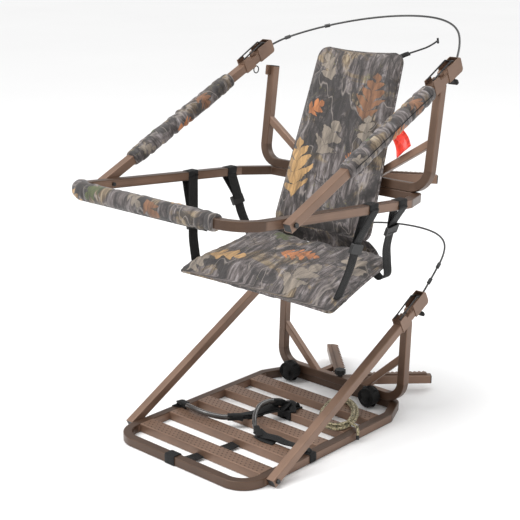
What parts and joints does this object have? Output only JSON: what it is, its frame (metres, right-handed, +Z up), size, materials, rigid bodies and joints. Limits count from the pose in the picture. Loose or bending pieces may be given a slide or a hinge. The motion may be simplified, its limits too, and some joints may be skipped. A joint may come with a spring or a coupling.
{
  "type": "climbing tree stand",
  "caption": "Climbing tree stand: slatted foot platform with a toothed trunk V, and a padded camouflage seat section with folding arms and trunk cables.",
  "frame": {"origin": "middle of the underside of the middle foot slat", "axes": "+X across the stand, +Y towards the tree, +Z up"},
  "size_m": [0.7304, 1.0977, 1.1296],
  "materials": {
    "frame": "satin brown powder coat",
    "black_plastic": "matte black",
    "steel": "black oxide steel",
    "cable": "coated wire rope",
    "camo": "printed woodland fabric",
    "webbing": "black nylon webbing",
    "vinyl": "glossy vinyl tube",
    "rope": "camouflage braid",
    "tag": "red nylon"
  },
  "bodies": {
    "platform_section": {"platform_frame": "frame", "platform_slats": "frame", "platform_hoop": "frame", "platform_hoop_braces": "frame", "platform_trunk_arms": "frame", "platform_trunk_teeth": "frame", "platform_trunk_struts": "frame", "platform_tube_plugs": "black_plastic", "platform_pivot_bolts": "steel", "foot_loop_left": "vinyl", "foot_loop_right": "vinyl", "foot_webbing": "webbing", "center_strap": "webbing", "side_wraps": "webbing", "front_strap": "webbing", "strap_bundles": "webbing", "tether_hank": "rope", "tether_tail": "rope", "tether_tip": "black_plastic"},
    "platform_knob": {"platform_trunk_knob": "black_plastic"},
    "platform_arms": {"platform_arm_left": "frame", "platform_arm_right": "frame", "platform_arm_plugs": "black_plastic", "platform_collars": "frame", "platform_cable_blocks": "frame", "platform_cable": "cable", "platform_cable_stops": "cable"},
    "platform_bail_l": {"platform_bail_left": "steel"},
    "platform_bail_r": {"platform_bail_right": "steel"},
    "platform_lock": {"platform_lock_knob": "black_plastic"},
    "platform_ring": {"platform_pull_ring": "steel"},
    "seat_section": {"seat_frame": "frame", "seat_hoop": "frame", "seat_hoop_braces": "frame", "seat_trunk_arms": "frame", "seat_trunk_teeth": "frame", "seat_tube_plugs": "black_plastic", "seat_pivot_bolts": "steel", "front_pad": "camo", "seat_straps_left": "webbing", "seat_straps_right": "webbing", "strap_buckles": "black_plastic", "hang_tag": "tag", "seat_cushion": "camo"},
    "seat_arms": {"seat_arm_left": "frame", "seat_arm_right": "frame", "seat_arm_plugs": "black_plastic", "seat_collars": "frame", "seat_cable_blocks": "frame", "armrest_pad_left": "camo", "armrest_pad_right": "camo", "seat_cable": "cable", "seat_cable_stops": "cable"},
    "seat_bail_l": {"seat_bail_left": "steel"},
    "seat_bail_r": {"seat_bail_right": "steel"},
    "seat_lock": {"seat_lock_knob": "black_plastic"},
    "seat_ring": {"seat_pull_ring": "steel"},
    "backrest": {"backrest_cushion": "camo", "backrest_lanyard": "webbing", "lanyard_hook": "steel"}
  },
  "joints": [
    {"name": "platform_arm_fold", "type": "hinge", "parent": "platform_section", "child": "platform_arms", "pos_m": [0, -0.2464, 0.0183], "axis": [1, 0, 0], "range_deg": [-21, 0]},
    {"name": "seat_climb", "type": "slide", "parent": "platform_section", "child": "seat_section", "axis": [0, 0, 1], "range_m": [0, 0.6]},
    {"name": "seat_arm_fold", "type": "hinge", "parent": "seat_section", "child": "seat_arms", "pos_m": [0, -0.26465, 0.71497], "axis": [1, 0, 0], "range_deg": [-8.5, 0]},
    {"name": "backrest_fold", "type": "hinge", "parent": "seat_section", "child": "backrest", "pos_m": [0, 0.236, 0.541], "axis": [1, 0, 0], "range_deg": [0, 60]},
    {"name": "platform_knob_turn", "type": "hinge", "parent": "platform_section", "child": "platform_knob", "pos_m": [0, 0.3628, 0.06], "axis": [0, 0, 1], "continuous": true},
    {"name": "platform_bail_l_swing", "type": "hinge", "parent": "platform_arms", "child": "platform_bail_l", "pos_m": [-0.2717, 0.37603, 0.36739], "axis": [-1, 0, 0], "range_deg": [0, 55]},
    {"name": "platform_bail_r_swing", "type": "hinge", "parent": "platform_arms", "child": "platform_bail_r", "pos_m": [0.2717, 0.37603, 0.36739], "axis": [-1, 0, 0], "range_deg": [0, 55]},
    {"name": "platform_lock_turn", "type": "hinge", "parent": "platform_arms", "child": "platform_lock", "pos_m": [0.2717, 0.37816, 0.32046], "axis": [0, -0.4664, 0.8846], "continuous": true},
    {"name": "platform_ring_pull", "type": "slide", "parent": "platform_arms", "child": "platform_ring", "axis": [0, 0.4664, -0.8846], "range_m": [0, 0.008]},
    {"name": "seat_bail_l_swing", "type": "hinge", "parent": "seat_arms", "child": "seat_bail_l", "pos_m": [-0.3407, 0.39208, 1.03881], "axis": [-1, 0, 0], "range_deg": [0, 55]},
    {"name": "seat_bail_r_swing", "type": "hinge", "parent": "seat_arms", "child": "seat_bail_r", "pos_m": [0.3407, 0.39208, 1.03881], "axis": [-1, 0, 0], "range_deg": [0, 55]},
    {"name": "seat_lock_turn", "type": "hinge", "parent": "seat_arms", "child": "seat_lock", "pos_m": [0.3407, 0.39175, 0.99184], "axis": [0, -0.4195, 0.9078], "continuous": true},
    {"name": "seat_ring_pull", "type": "slide", "parent": "seat_arms", "child": "seat_ring", "axis": [0, 0.4195, -0.9078], "range_m": [0, 0.008]}
  ]
}
